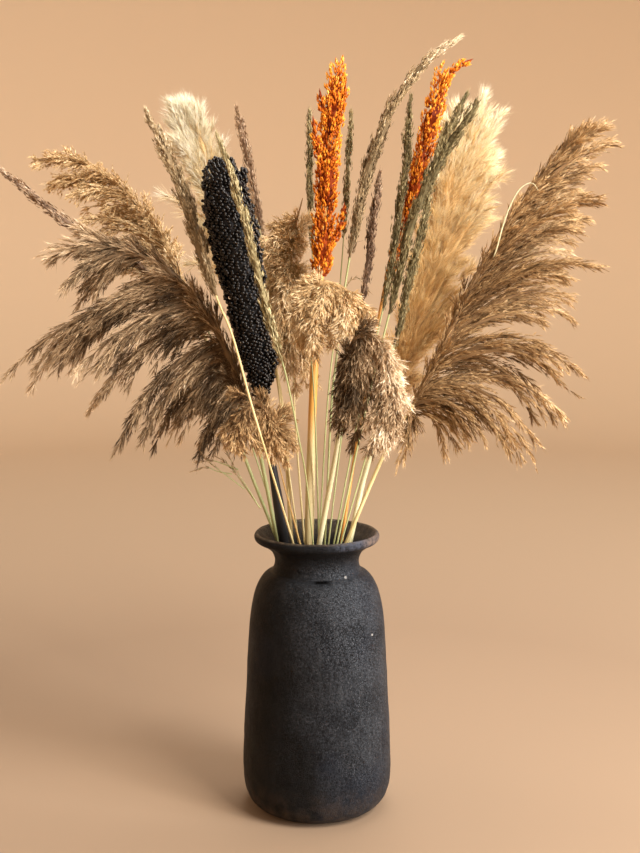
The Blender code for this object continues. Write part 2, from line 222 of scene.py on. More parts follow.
# small blades gathered into one mesh
class Blades:
    def __init__(self):
        self.spots, self.faces, self.maps, self.total = [], [], [], 0

    def add(self, spots, faces, tint, along):
        """spots: blades x corners x 3; faces: triangles of one blade; along: corners' share of its length."""
        count, corners, _ = spots.shape
        faces = np.asarray(faces)
        start = self.total + np.arange(count)[:, None, None] * corners
        self.spots.append(spots.reshape(-1, 3))
        self.faces.append((faces[None] + start).reshape(-1, 3))
        uv = np.empty((count, corners, 2))
        tint = np.asarray(tint)
        uv[:, :, 0] = np.clip(tint if tint.ndim == 2 else tint[:, None], 0.01, 0.99)
        uv[:, :, 1] = np.asarray(along)[None]
        self.maps.append(uv.reshape(-1, 2))
        self.total += count * corners

    def hairs(self, start, head, length, width, sag, tint, face=None):
        """Thin pointed strips that bend down by sag at their tips and lie square to face."""
        half = unit(np.cross(self.turned(head, face), head)) * (width * 0.5)[:, None]
        tip = start + head * length[:, None] - UP * sag[:, None]
        self.add(np.stack([start - half, start + half, tip], 1), [(0, 1, 2)], tint, [0.0, 0.0, 1.0])

    def turned(self, head, face):
        loose = rng.normal(size=head.shape)
        return loose if face is None else face + 0.5 * loose

    def husks(self, start, head, length, width, tint, face=None, fold=0.35):
        """Pointed scales folded along their middle, with their backs towards face."""
        side = unit(np.cross(self.turned(head, face), head))
        lift = np.cross(head, side)
        wide = start + head * (length * 0.42)[:, None]
        half = side * (width * 0.5)[:, None]
        ridge = wide + lift * (width * fold)[:, None]
        spots = np.stack([start, wide - half, wide + half, ridge, start + head * length[:, None]], 1)
        self.add(spots, [(0, 3, 1), (0, 2, 3), (1, 3, 4), (3, 2, 4)], tint, [0.0, 0.45, 0.45, 0.5, 1.0])

    def grains(self, start, head, length, width, tint):
        """Plump pointed grains with four sides."""
        a, b = square_to(head)
        turn = some(len(head), 0, math.pi)
        side = a * np.cos(turn)[:, None] + b * np.sin(turn)[:, None]
        other = np.cross(head, side)
        wide = start + head * (length * 0.45)[:, None]
        half = (width * 0.5)[:, None]
        spots = np.stack([start, wide + side * half, wide + other * half, wide - side * half,
                          wide - other * half, start + head * length[:, None]], 1)
        faces = [(0, 2, 1), (0, 3, 2), (0, 4, 3), (0, 1, 4), (1, 2, 5), (2, 3, 5), (3, 4, 5), (4, 1, 5)]
        self.add(spots, faces, tint, [0.0, 0.5, 0.5, 0.5, 0.5, 1.0])

    def piece(self, name, material, slot, nodes, smooth=False):
        spots, faces = np.concatenate(self.spots), np.concatenate(self.faces)
        uv = np.concatenate(self.maps)
        mesh = make_mesh(name, spots, faces, smooth)
        for layer_name in ("fibre", "OFBake"):
            layer = mesh.uv_layers.new(name=layer_name)
            layer.data.foreach_set("uv", uv[faces.ravel()].ravel())
        place_piece(name, mesh, material, slot, nodes)


def make_mesh(name, spots, faces, smooth):
    mesh = bpy.data.meshes.new(name)
    mesh.vertices.add(len(spots))
    mesh.vertices.foreach_set("co", np.ascontiguousarray(spots, dtype=np.float32).ravel())
    mesh.loops.add(len(faces) * 3)
    mesh.loops.foreach_set("vertex_index", np.ascontiguousarray(faces, dtype=np.int32).ravel())
    mesh.polygons.add(len(faces))
    mesh.polygons.foreach_set("loop_start", np.arange(0, len(faces) * 3, 3, dtype=np.int32))
    mesh.polygons.foreach_set("use_smooth", np.full(len(faces), smooth))
    mesh.update(calc_edges=True)
    return mesh


def place_piece(name, mesh, material, slot, nodes):
    piece = bpy.data.objects.new(name, mesh)
    bpy.context.scene.collection.objects.link(piece)
    mesh.materials.append(material)
    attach(piece, "root")
    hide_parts(*nodes)


def tube_faces(rings, sides):
    """Triangles between the rings of a tube."""
    faces = []
    for i in range(rings - 1):
        for j in range(sides):
            p, q = i * sides + j, i * sides + (j + 1) % sides
            faces += [(p, q, q + sides), (p, q + sides, p + sides)]
    return faces


def ring_about(head, sides):
    """Unit vectors around each heading."""
    a = unit(np.cross(head, np.array([0.37, 0.91, 0.18])))
    b = np.cross(head, a)
    turn = np.arange(sides) * 2 * math.pi / sides
    return a[:, None] * np.cos(turn)[None, :, None] + b[:, None] * np.sin(turn)[None, :, None]


def rod(line, radii, rings, sides):
    """Corners and triangles of a round bar along a line; radii are at equal shares of its length."""
    share = np.linspace(0, 1, rings)
    places, heads = line.at(share)
    radius = np.interp(share, np.linspace(0, 1, len(radii)), radii)
    spots = places[:, None] + ring_about(heads, sides) * radius[:, None, None]
    faces = tube_faces(rings, sides)
    spots = np.vstack([spots.reshape(-1, 3), places[:1], places[-1:]])
    low, top = len(spots) - 2, len(spots) - 1
    for j in range(sides):
        k = (j + 1) % sides
        faces += [(low, k, j), (top, (rings - 1) * sides + j, (rings - 1) * sides + k)]
    return spots, faces


def stem_piece(name, route, radii, material, slot, node, rings=60, sides=8):
    spots, faces = rod(Line(route), radii, rings, sides)
    place_piece(name, make_mesh(name, spots, np.array(faces), True), material, slot, [node])


# plumes
def branches(line, locks, each, loose, spread, short, reach_low, leave, bend_share, pull):
    """Starts, bends and tips of a plume's main branches.

    A lock is its share of the spine, its tip in millimetres and how many copies it has, each if not given.
    Further branches lie loose between locks, and short ones all along the spine."""
    locks = sorted(locks, key=lambda lock: lock[0])
    places = np.array([lock[0] for lock in locks])
    tips = np.array(mm([lock[1:4] for lock in locks]))
    copies = [lock[4] if len(lock) > 4 else each for lock in locks]
    same = np.repeat(np.arange(len(locks)), copies)
    first = np.cumsum([0] + copies[:-1])
    which = np.concatenate([same, some(loose, 0, len(locks) - 1)]).astype(float)
    stray = np.ones(len(which))
    stray[first] = 0
    which = np.clip(which + rng.normal(0, 0.12, len(which)) * stray, 0, len(locks) - 1)
    low = np.minimum(which.astype(int), len(locks) - 2)
    part = which - low
    place = places[low] * (1 - part) + places[low + 1] * part + rng.normal(0, 0.025, len(which)) * stray
    tip = tips[low] * (1 - part)[:, None] + tips[low + 1] * part[:, None]
    start, head = line.at(np.clip(place, 0, 1))
    reach = (tip - start) * np.where(stray > 0, some(len(which), reach_low, 1.0), 1.0)[:, None]
    size = np.linalg.norm(reach, axis=1, keepdims=True)
    reach += rng.normal(0, spread, reach.shape) * stray[:, None] * size
    size = np.linalg.norm(reach, axis=1, keepdims=True)
    reach *= np.maximum(1 - pull / size, 0.5)
    if short:
        place = some(short, 0.0, 1.0)
        at, heading = line.at(place)
        outward = lean(heading, some(short, 0.1, 0.42), some(short, 0, 2 * math.pi))
        size = some(short, 0.02, 0.045) * (1.0 - 0.55 * place)
        size = np.minimum(size, (1 - place) * line.length + 0.006)
        start, head = np.vstack([start, at]), np.vstack([head, heading])
        reach = np.vstack([reach, outward * size[:, None]])
    size = np.linalg.norm(reach, axis=1, keepdims=True)
    bend = start + head * leave * size + reach * bend_share
    return start, bend, start + reach


def along_branch(start, bend, tip, t):
    t = t[:, None]
    place = start * (1 - t) ** 2 + bend * 2 * t * (1 - t) + tip * t ** 2
    head = unit((bend - start) * (1 - t) + (tip - bend) * t)
    return place, head


def lumps(spots, scale, seed):
    shift = Vector((seed, 2 * seed, -seed))
    return np.array([noise.noise(Vector(p) * scale + shift) for p in spots])


def cores(blades, start, bend, tip, thick, tint, rings=8, sides=6):
    """Dark tapered bodies inside a plume, so that little shows through its thick parts; their dark tint is
    painted shade of the dense inside.
    """
    count = len(start)
    level = np.linspace(0, 1, rings)
    radius = np.interp(level, [0, 0.12, 0.4, 0.8, 1.0], [0.5, 0.9, 1.0, 0.45, 0.05]) * thick
    rows = []
    for t, r in zip(level, radius):
        place, head = along_branch(start, bend, tip, np.full(count, t * 0.86))
        rows.append(place[:, None] + ring_about(head, sides) * (r * some((count, sides, 1), 0.65, 1.25)))
    tints = tint + rng.normal(0, 0.07, (count, rings * sides))
    blades.add(np.concatenate(rows, 1), tube_faces(rings, sides), tints, np.repeat(0.2 + 0.3 * level, sides))


def core_line(blades, line, radii, tint, rings=24, sides=7, low=0.0, high=1.0):
    """One dark body along part of a line, with a rough skin; its dark tint is painted shade of the dense
    inside.
    """
    level = np.linspace(0, 1, rings)
    place, head = line.at(low + (high - low) * level)
    radius = np.interp(level, np.linspace(0, 1, len(radii)), radii)
    rough = radius[:, None, None] * some((rings, sides, 1), 0.75, 1.15)
    spots = place[:, None] + ring_about(head, sides) * rough
    tints = tint + rng.normal(0, 0.06, (1, rings * sides))
    blades.add(spots.reshape(1, -1, 3), tube_faces(rings, sides), tints, np.full(rings * sides, 0.35))


def plume(name, node, slot, material, spine, locks, twigs=2000, each=4, loose=10, spread=0.05, short=20,
          twig=0.022, angle=0.28, husks=3, husk=(0.0075, 0.0016), hairs=13, hair=(0.015, 0.001), base=0.45,
          vary=0.1, upward_light=0.05, edge=0.18, tone=0.07, sag=0.12, core=0.0035, seed=1.0, reach_low=0.75,
          clump=0.16, wild=0.2, climb=0.0, side_light=None, leave=0.3, bend_share=0.5, pull=0.01,
          fan=0.09):
    """A plume: branches along a spine, twigs along the branches, and husks and hairs on the twigs.

    base is its tint, which climb raises with height and side_light changes by an amount from one side of a
    place in x to the other, over a width; upward_light and edge give painted light on twigs that face up or sit
    far out, and painted shade near the spine."""
    line = Line(mm(spine))
    blades = Blades()
    start, bend, tip = branches(line, locks, each, loose, spread, short, reach_low, leave, bend_share, pull)
    main = len(start) - short
    size = np.linalg.norm(tip - start, axis=1)
    tones = rng.normal(0, tone, len(start))

    # bodies inside, painted dark as shade, along every other main branch and along the spine
    cores(blades, start[:main:2], bend[:main:2], tip[:main:2], core, base - 0.25)
    core_line(blades, line, np.array([0.5, 1.0, 1.0, 0.8, 0.5, 0.15]) * core * 1.2, base - 0.25)

    # the branches themselves
    for k in range(4):
        a, _ = along_branch(start, bend, tip, np.full(len(start), k / 4))
        b, _ = along_branch(start, bend, tip, np.full(len(start), (k + 1) / 4))
        gap = b - a
        length = np.linalg.norm(gap, axis=1)
        blades.hairs(a, unit(gap), length * 1.1, np.full(len(a), 0.0014 - 0.0002 * k), length * 0.0,
                     base - 0.1 + tones)

    # twigs, which start on the skin of the body inside
    weight = size ** 0.85
    which = np.sort(rng.choice(len(start), twigs, p=weight / weight.sum()))
    t = some(twigs, 0.0, 1.0) ** 0.9
    at, head = along_branch(start[which], bend[which], tip[which], t)
    swell = 0.45 + 0.55 * np.sin(math.pi * np.clip(0.12 + 0.78 * t, 0, 1)) ** 0.8
    length = twig * swell * some(twigs, 0.65, 1.15)
    length = np.minimum(length, 0.8 * size[which] + 0.004)
    turn = some(twigs, 0, 2 * math.pi)
    heading = lean(head, np.abs(rng.normal(angle, fan, twigs)), turn)
    outward = lean(head, np.full(twigs, math.pi / 2), turn)
    skin = core * np.interp(t, [0, 0.1, 0.35, 0.7, 0.9], [0.5, 0.9, 1.0, 0.45, 0.0])
    at = at + outward * (skin * 0.9)[:, None]
    drop = length * sag
    blades.hairs(at, heading, length, np.full(twigs, 0.0009), drop, base + tones[which], outward)
    # painted light and shade: twigs that face up or sit far out on their branch are lighter, those near the
    # spine darker
    tint = base + upward_light * outward[:, 2] + edge * (t - 0.5) + tones[which] + clump * lumps(at, 38.0, seed)
    tint += rng.normal(0, 0.05, twigs) + climb * (at[:, 2] - 0.65)
    if side_light:
        amount, middle, width = side_light
        tint += amount * np.clip((at[:, 0] - middle) / width, -1, 1)

    def on_twig(each_twig, low, loose_by):
        pick = np.repeat(np.arange(twigs), each_twig)
        w = some(len(pick), low, 1.0)
        place = at[pick] + heading[pick] * (length[pick] * w)[:, None] - UP * (drop[pick] * w * w)[:, None]
        onward = unit(heading[pick] - UP * (2 * sag * w)[:, None])
        toward = lean(onward, np.abs(rng.normal(0.0, loose_by, len(pick))), some(len(pick), 0, 2 * math.pi))
        return pick, w, place, toward

    pick, w, place, toward = on_twig(husks, 0.15, 0.28)
    blades.husks(place, toward, husk[0] * some(len(pick), 0.6, 1.2), husk[1] * some(len(pick), 0.7, 1.2),
                 tint[pick] + rng.normal(0, vary, len(pick)), outward[pick])
    pick, w, place, toward = on_twig(hairs, -0.1, wild)
    long = hair[0] * some(len(pick), 0.5, 1.2) * (1.1 - 0.45 * w)
    blades.hairs(place, toward, long, hair[1] * some(len(pick), 0.6, 1.3),
                 long * 0.2 * some(len(pick), -0.4, 1.0),
                 tint[pick] + 0.08 * (w - 0.5) + rng.normal(0, vary, len(pick)), outward[pick])
    blades.piece(name, material, slot, [node])


COMMON_TIP = (1.3, 1.28, 1.24)
reed_look = fibre_material("reed_fibres", [(0.0, (0.08, 0.04, 0.013)), (0.25, (0.23, 0.125, 0.048)),
    (0.5, (0.5, 0.31, 0.135)), (0.75, (0.75, 0.52, 0.265)), (1.0, (0.93, 0.75, 0.48))], tip=COMMON_TIP)
grey_look = fibre_material("reed_grey_fibres", [(0.0, (0.05, 0.027, 0.01)), (0.25, (0.165, 0.098, 0.045)),
    (0.5, (0.42, 0.28, 0.15)), (0.75, (0.7, 0.51, 0.31)), (1.0, (0.93, 0.78, 0.56))], tip=COMMON_TIP)
gold_look = fibre_material("reed_gold_fibres", [(0.0, (0.11, 0.056, 0.018)), (0.25, (0.32, 0.19, 0.075)),
    (0.5, (0.62, 0.41, 0.19)), (0.75, (0.84, 0.62, 0.34)), (1.0, (0.96, 0.8, 0.54))], tip=COMMON_TIP)
cream_look = fibre_material("pampas_fibres", [(0.0, (0.52, 0.3, 0.11)), (0.25, (0.78, 0.5, 0.2)),
    (0.55, (0.98, 0.73, 0.35)), (0.8, (1.0, 0.86, 0.56)), (1.0, (1.0, 0.95, 0.78))], sheen=0.2,
    tip=(1.1, 1.1, 1.08))

straw = stem_material("stem_straw", (0.62, 0.47, 0.2), (0.8, 0.66, 0.34), (0.5, 0.35, 0.13))
green = stem_material("stem_green", (0.25, 0.28, 0.095), (0.42, 0.43, 0.18), (0.48, 0.44, 0.21))
brown = stem_material("stem_brown", (0.52, 0.3, 0.09), (0.72, 0.46, 0.16), (0.3, 0.17, 0.06))
pale = stem_material("stem_pale", (0.62, 0.56, 0.32), (0.8, 0.72, 0.45), (0.48, 0.42, 0.2))

REEDS = {
    "reed_right": dict(
        mouth=(36, -12), route=[(85, -15, 465)], stem=(0.0025, straw), slot="reed_brown",
        spine=[(115, -12, 515), (155, -10, 595), (200, -10, 690), (262, -10, 790), (310, -15, 842),
            (338, -20, 860)],
        locks=[(0.0, 100, -35, 450, 3), (0.01, 170, 30, 456, 1), (0.03, 212, -55, 487, 3),
            (0.05, 278, -30, 457), (0.09, 315, 45, 504), (0.15, 328, -50, 572), (0.22, 330, 30, 658),
            (0.29, 336, -35, 704), (0.36, 346, 35, 762), (0.45, 340, -45, 786), (0.55, 354, 15, 828),
            (0.66, 330, 0, 868), (0.61, 364, -12, 850, 4)],
        look=reed_look, more=dict(twigs=4050, each=6, loose=18, short=60, core=0.0036, climb=0.3,
            leave=0.42, bend_share=0.36, tone=0.09, clump=0.22, hair=(0.013, 0.001))),
    "reed_left_low": dict(
        mouth=(-50, 1), route=[], stem=(0.0026, green), slot="reed_grey",
        spine=[(-77, -30, 497), (-103, -45, 579), (-135, -50, 644), (-183, -50, 696), (-236, -50, 718),
            (-285, -50, 720), (-326, -50, 708)],
        locks=[(0.77, -299, -85, 675), (0.68, -296, -30, 652), (0.51, -386, -60, 560, 8),
            (0.54, -336, -25, 569), (0.44, -292, -105, 569), (0.4, -284, -40, 523), (0.32, -246, -80, 478),
            (0.27, -210, -25, 463), (0.12, -148, -70, 463), (0.72, -290, -45, 748), (0.2, -170, -60, 490),
            (0.04, -99, -60, 474), (0.58, -248, -40, 657, 4), (0.47, -214, -60, 626, 4),
            (0.36, -189, -35, 596, 4), (0.25, -165, -60, 559, 4), (0.16, -146, -40, 534, 4)],
        look=grey_look, more=dict(twigs=4050, each=6, loose=18, short=60, core=0.0036, base=0.52, seed=2.0,
            clump=0.38, tone=0.12, side_light=(-0.2, -0.3, 0.07), climb=0.8, leave=0.22, bend_share=0.46,
            reach_low=0.6)),
    "reed_left_high": dict(
        mouth=(-50, 10), route=[(-97, 30, 463)], stem=(0.0022, green), slot="reed_gold",
        spine=[(-141, 42, 598), (-175, 42, 681), (-201, 37, 741), (-235, 32, 785), (-272, 30, 816),
            (-309, 30, 830), (-345, 30, 828)],
        locks=[(0.72, -355, 50, 800), (0.6, -324, 18, 788), (0.5, -309, 58, 776), (0.42, -312, 22, 756),
            (0.32, -300, 45, 728), (0.52, -189, 58, 701), (0.2, -262, 26, 700)],
        look=gold_look, more=dict(twigs=2500, loose=16, short=70, core=0.003, husks=5,
            husk=(0.0055, 0.0018), hairs=6, hair=(0.009, 0.0008), twig=0.017, seed=3.0, base=0.6,
            pull=0.018, angle=0.45, fan=0.2, wild=0.4, reach_low=0.6)),
    "reed_mid_left": dict(
        mouth=(-16, 9), route=[(-28, 30, 502)], stem=(0.0014, straw), slot="reed_gold",
        spine=[(-32, 42, 617), (-36, 42, 674), (-33, 40, 725), (-18, 40, 784)],
        locks=[(0.66, -68, 28, 736), (0.45, -64, 46, 655), (0.35, -53, 14, 612), (0.25, -26, 8, 533),
            (0.26, 1, 42, 529), (0.62, -6, 60, 764), (0.2, -47, 30, 577), (0.74, -64, 40, 750),
            (0.82, -42, 35, 758), (0.5, -68, 35, 700), (0.3, -62, 40, 628), (0.42, -10, 28, 700),
            (0.58, -70, 26, 718, 4), (0.55, -56, 56, 684, 4), (0.78, -30, 28, 735, 4),
            (0.48, -45, 15, 650, 4), (0.68, -10, 45, 728, 4), (0.4, 2, 45, 672, 4), (0.66, -20, 28, 719, 5),
            (0.58, -34, 28, 701, 4)],
        look=gold_look, more=dict(twigs=3000, loose=20, short=4, core=0.0034, hairs=12, twig=0.016,
            angle=0.55, fan=0.25, wild=0.42, hair=(0.012, 0.0009), seed=4.0, base=0.54, clump=0.26,
            spread=0.1, climb=1.0, side_light=(0.1, -0.045, 0.02))),
    "reed_mid_right": dict(
        mouth=(3, -10), route=[(-3, -22, 533)], stem=(0.0013, green), slot="reed_gold",
        spine=[(-9, -45, 622), (-1, -57, 672), (28, -60, 674), (67, -62, 636)],
        locks=[(0.2, -20, -50, 595), (0.3, 0, -77, 578), (0.52, 17, -52, 594), (0.62, 28, -77, 612),
            (0.74, 52, -52, 612), (0.28, -37, -64, 632), (0.84, 66, -66, 638), (0.36, -32, -50, 668, 4),
            (0.46, -10, -78, 625, 4), (0.42, -14, -48, 690, 3), (0.66, 50, -72, 655, 4)],
        look=gold_look, more=dict(twigs=2500, each=6, loose=14, short=0, core=0.0036, hairs=12, twig=0.014,
            angle=0.55, fan=0.25, wild=0.42, hair=(0.011, 0.0009), seed=5.0, base=0.6, spread=0.09,
            clump=0.32)),
    "reed_front_right": dict(
        mouth=(2, -28), route=[(25, -62, 482)], stem=(0.0036, pale), slot="reed_brown",
        spine=[(34, -86, 564), (42, -100, 606), (59, -108, 622), (80, -116, 597), (96, -122, 545)],
        locks=[(0.22, 25, -92, 493), (0.36, 42, -112, 480), (0.5, 61, -130, 472), (0.62, 78, -110, 477),
            (0.78, 88, -135, 492), (0.9, 104, -124, 532), (0.14, 26, -104, 535), (0.3, 38, -122, 515),
            (0.2, 28, -100, 585, 4), (0.55, 90, -126, 590, 4), (0.66, 100, -112, 560, 4),
            (0.4, 72, -104, 628, 4)],
        look=grey_look, more=dict(twigs=2800, each=5, loose=12, short=12, core=0.0036, hairs=12, twig=0.015,
            angle=0.48, fan=0.22, wild=0.4, hair=(0.012, 0.0009), seed=6.0, base=0.58, spread=0.06,
            clump=0.45, side_light=(0.3, 0.063, 0.018), climb=1.1)),
    "reed_front_left": dict(
        mouth=(-20, -23), route=[(-45, -80, 459)], stem=(0.0014, brown), slot="reed_brown",
        spine=[(-53, -100, 503), (-60, -106, 530), (-76, -112, 541), (-95, -115, 524)],
        locks=[(0.7, -90, -110, 472), (0.45, -72, -98, 484), (0.2, -32, -96, 457),
            (0.24, -50, -108, 490, 2), (0.1, -56, -92, 460), (0.8, -106, -113, 484),
            (0.02, -34, -88, 520, 4), (0.03, -20, -84, 482, 4), (0.05, -48, -88, 526, 5),
            (0.04, -34, -88, 485, 5), (0.08, -58, -94, 494, 4), (0.0, -63, -90, 543, 5),
            (0.0, -29, -84, 540, 4), (0.03, -24, -84, 497, 4)],
        look=reed_look, more=dict(twigs=1600, each=5, loose=6, short=4, core=0.0022, hairs=12, twig=0.013,
            angle=0.5, fan=0.2, wild=0.42, hair=(0.01, 0.0008), seed=7.0, base=0.42, clump=0.3,
            spread=0.12)),
}
PAMPAS = {
    "pampas_left": dict(
        mouth=(-33, 18), route=[(-44, 64, 499)], stem=(0.0028, straw), slot="pampas_cream",
        spine=[(-65, 100, 601), (-103, 115, 706), (-140, 123, 803), (-164, 125, 876)],
        locks=[(0.58, -195, 110, 902, 13), (0.64, -180, 130, 917, 12), (0.7, -187, 118, 918, 8),
            (0.66, -157, 118, 914, 12), (0.6, -195, 116, 916, 9), (0.48, -198, 128, 873, 6),
            (0.36, -210, 112, 800, 1), (0.2, -177, 106, 709, 1), (0.34, -171, 115, 837, 6),
            (0.24, -159, 112, 790, 6), (0.12, -146, 106, 738, 5), (0.46, -123, 116, 862),
            (0.35, -107, 134, 825)],
        look=cream_look, more=dict(twigs=4500, each=8, loose=30, short=90, base=0.61, seed=8.0, climb=1.6)),
    "pampas_right": dict(
        mouth=(42, 3), route=[(64, 32, 436)], stem=(0.0035, pale), slot="pampas_straw",
        spine=[(93, 62, 511), (126, 86, 614), (160, 102, 726), (186, 110, 825), (200, 112, 884)],
        locks=[(0.7, 222, 118, 926, 10), (0.68, 176, 96, 912, 10), (0.62, 243, 112, 890),
            (0.54, 242, 132, 849), (0.44, 246, 96, 826), (0.36, 235, 116, 767), (0.26, 200, 96, 712),
            (0.1, 162, 74, 622), (0.04, 146, 84, 561), (0.28, 126, 108, 720), (0.56, 168, 100, 897, 6),
            (0.44, 154, 100, 823, 6), (0.32, 143, 98, 769, 6), (0.2, 128, 92, 717, 6),
            (0.08, 111, 85, 654, 5), (0.16, 210, 94, 704, 5), (0.1, 194, 86, 654, 5),
            (0.66, 244, 112, 904, 6), (0.02, 102, 80, 615, 5), (0.03, 91, 72, 586, 4)],
        look=cream_look, more=dict(twigs=5250, each=6, loose=34, short=110, base=0.44, seed=9.0,
            climb=1.5)),
}

PAMPAS_MORE = dict(twig=0.02, fan=0.2, husks=0, hairs=15, hair=(0.022, 0.00065), wild=0.3, vary=0.06, edge=0.1,
                   tone=0.03, sag=0.05, core=0.005, clump=0.1, reach_low=0.65, pull=0.015)
for node, item in {**REEDS, **PAMPAS}.items():
    radius, look = item["stem"]
    stem_piece(node + "_stem", rooted(item["mouth"], item["route"] + item["spine"]),
               [radius] * 5 + [radius * 0.7, radius * 0.3, 0.0004], look, item["slot"], node)
    plume(node + "_plume", node, item["slot"], item["look"], item["spine"], item["locks"],
          **(PAMPAS_MORE if node in PAMPAS else {}), **item["more"])

leaf = mm([(214, -12, 700), (220, -20, 718), (226, -27, 745), (234, -30, 770), (245, -30, 790),
           (256, -30, 798), (263, -30, 797), (268, -30, 790)])
stem_piece("reed_right_leaf", leaf, [0.0007, 0.001, 0.0009, 0.0006, 0.0003], pale, "reed_brown",
           "reed_right", 40, 6)


# dyed sorghum
GOLDEN_ANGLE = 2.399963


def widths_at(table, share):
    """Radii of a head, whose table gives shares of its length and radii."""
    return np.interp(share, [t for t, _ in table], [r for _, r in table])


def even_shares(table, count, levels):
    """Shares of a head's length at which count places lie evenly over its surface."""
    level = np.linspace(0, 1, levels)
    weight = np.cumsum(widths_at(table, level) + 0.002)
    return np.interp((np.arange(count) + 0.5) / count, weight / weight[-1], level)


def head_spots(line, table, gap, lump, seed):
    """Evenly spread places on a lumpy head, with their outward directions."""
    area = 2 * math.pi * np.mean(widths_at(table, np.linspace(0, 1, 50))) * line.length
    count = int(area / (gap * gap * 0.87))
    share = even_shares(table, count, 400)
    turn = np.arange(count) * GOLDEN_ANGLE + rng.normal(0, 0.06, count)
    place, head = line.at(share)
    a, b = square_to(head)
    out = a * np.cos(turn)[:, None] + b * np.sin(turn)[:, None]
    surface = place + out * widths_at(table, share)[:, None]
    surface += out * (lumps(surface, 85.0, seed) * 1.6 * lump)[:, None]
    return surface, out


def ico():
    """Corners and faces of a unit icosahedron."""
    g = (1 + math.sqrt(5)) / 2
    corners = []
    for s in (-1, 1):
        for t in (-g, g):
            corners += [(0, s, t), (s, t, 0), (t, 0, s)]
    corners = unit(np.array(corners, float))
    side = min(np.linalg.norm(corners[0] - c) for c in corners[1:]) * 1.1
    near = [[np.linalg.norm(p - q) < side for q in corners] for p in corners]
    faces = []
    for i in range(12):
        for j in range(i + 1, 12):
            for k in range(j + 1, 12):
                if near[i][j] and near[j][k] and near[i][k]:
                    flip = np.dot(np.cross(corners[j] - corners[i], corners[k] - corners[i]), corners[i]) < 0
                    faces.append((i, k, j) if flip else (i, j, k))
    return corners, faces


beads_look = Look("sorghum_black_beads", 0.17)
bead_colour = beads_look.ramp(beads_look.fibre_map(), [
    (0.0, (0.0012, 0.0009, 0.001)), (0.8, (0.004, 0.0026, 0.0026)), (1.0, (0.013, 0.006, 0.005))])
black_look = beads_look.surface(Base_Color=bead_colour, Specular_IOR_Level=0.4, Specular_Tint=(1.0, 0.9, 0.8))
black_stem = stem_material("stem_black", (0.0028, 0.0018, 0.002), (0.007, 0.0042, 0.0046),
                           (0.002, 0.0012, 0.0014), 0.6)

head = [(-65, -66, 546), (-74, -70, 599), (-83, -77, 654), (-93, -79, 708),
        (-103, -80, 762), (-110, -80, 799), (-108, -80, 824)]
stem_piece("sorghum_black_stem", rooted((-39, -15), [(-54, -45, 449), (-64, -64, 548)]),
           [0.0078] * 8 + [0.0078, 0.0065, 0.005, 0.0045, 0.0045], black_stem, "dyed_black",
           "sorghum_black", 60, 12)
bead_corners, bead_faces = ico()
beads = Blades()
clusters = [
    (head, [(0.0, 0.007), (0.05, 0.012), (0.2, 0.019), (0.38, 0.022), (0.6, 0.0265), (0.8, 0.0265),
            (0.92, 0.021), (1.0, 0.009)], 3.0),
    ([(-94, -78, 780), (-87, -80, 799), (-85, -80, 812)],
     [(0.0, 0.004), (0.6, 0.0045), (1.0, 0.003)], 1.0),
    ([(-64, -68, 560), (-55, -72, 578), (-52, -74, 600)],
     [(0.0, 0.007), (0.6, 0.006), (1.0, 0.003)], 1.0)]
for n, (path, table, lump) in enumerate(clusters):
    surface, out = head_spots(Line(mm(path)), table, 0.0046, lump * 0.001, 3.1 * n + 1)
    size = 0.0025 * some(len(surface), 0.86, 1.15)
    surface = surface + out * rng.normal(0, 0.0012, len(surface))[:, None]
    spots = surface[:, None] + bead_corners[None] * size[:, None, None]
    beads.add(spots, bead_faces, some(len(surface), 0, 1), np.full(12, 0.5))
    radii = np.maximum(widths_at(table, np.linspace(0, 1, 20)) - 0.005, 0.001)
    spots, faces = rod(Line(mm(path)), radii, 24, 12)
    place_piece(f"sorghum_black_core_{n}", make_mesh(f"core_{n}", spots, np.array(faces), True), black_stem,
                "dyed_black", ["sorghum_black"])
beads.piece("sorghum_black_beads", black_look, "dyed_black", ["sorghum_black"], smooth=True)

orange_look = fibre_material("sorghum_orange_grains", [(0.0, (0.12, 0.012, 0.001)),
    (0.25, (0.36, 0.055, 0.003)), (0.5, (0.64, 0.17, 0.01)), (0.75, (0.86, 0.34, 0.03)),
    (1.0, (0.97, 0.62, 0.14))], rough=0.65, tip=(1.2, 1.3, 1.2), specular=0.15)
orange_stem = stem_material("stem_orange", (0.66, 0.26, 0.04), (0.8, 0.42, 0.08), (0.4, 0.14, 0.02))


